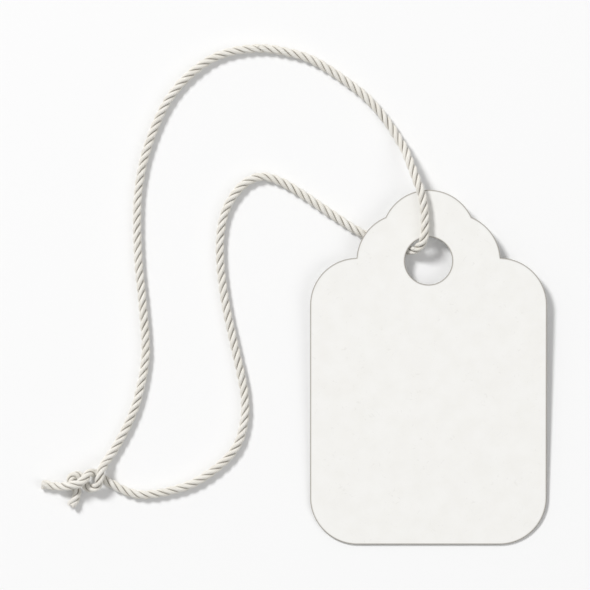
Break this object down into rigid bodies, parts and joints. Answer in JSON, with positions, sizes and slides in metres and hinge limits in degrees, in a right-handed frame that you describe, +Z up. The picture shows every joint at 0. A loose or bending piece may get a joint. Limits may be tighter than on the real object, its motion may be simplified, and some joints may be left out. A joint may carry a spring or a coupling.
{
  "type": "strung price tag",
  "caption": "Blank die-cut merchandise tag with a scalloped top and a punched hole, strung with a knotted loop of twisted cotton string.",
  "frame": {"origin": "middle of the card's outline, on the surface that the tag lies on", "axes": "+Y up the card towards its scalloped end, +X to the right as the front face is read, +Z up from the surface; the card is tilted 2.5 degrees about X because it lies on its own string"},
  "size_m": [0.0678, 0.0672, 0.0039],
  "materials": {
    "tag_board": "matte uncoated white tag board",
    "cotton_string": "matte plied cotton"
  },
  "bodies": {
    "string_loop": {"string_long_end": "cotton_string", "string_rear_loop": "cotton_string", "string_rear_bend": "cotton_string", "string_front_bend": "cotton_string", "string_front_loop": "cotton_string", "string_short_end": "cotton_string"},
    "string_bight": {"string_bight": "cotton_string"},
    "card": {"card": "tag_board"}
  },
  "joints": [
    {"name": "tag_flip", "type": "hinge", "parent": "string_loop", "child": "string_bight", "pos_m": [0, 0.0243, 0.00321], "axis": [-1, 0, 0], "range_deg": [0, 120], "deforming": ["string_front_bend", "string_rear_bend"]},
    {"name": "tag_swing", "type": "hinge", "parent": "string_bight", "child": "card", "pos_m": [0, 0.01427, 0.00183], "axis": [0, -0.0436, 0.999], "range_deg": [-18, 70]}
  ]
}
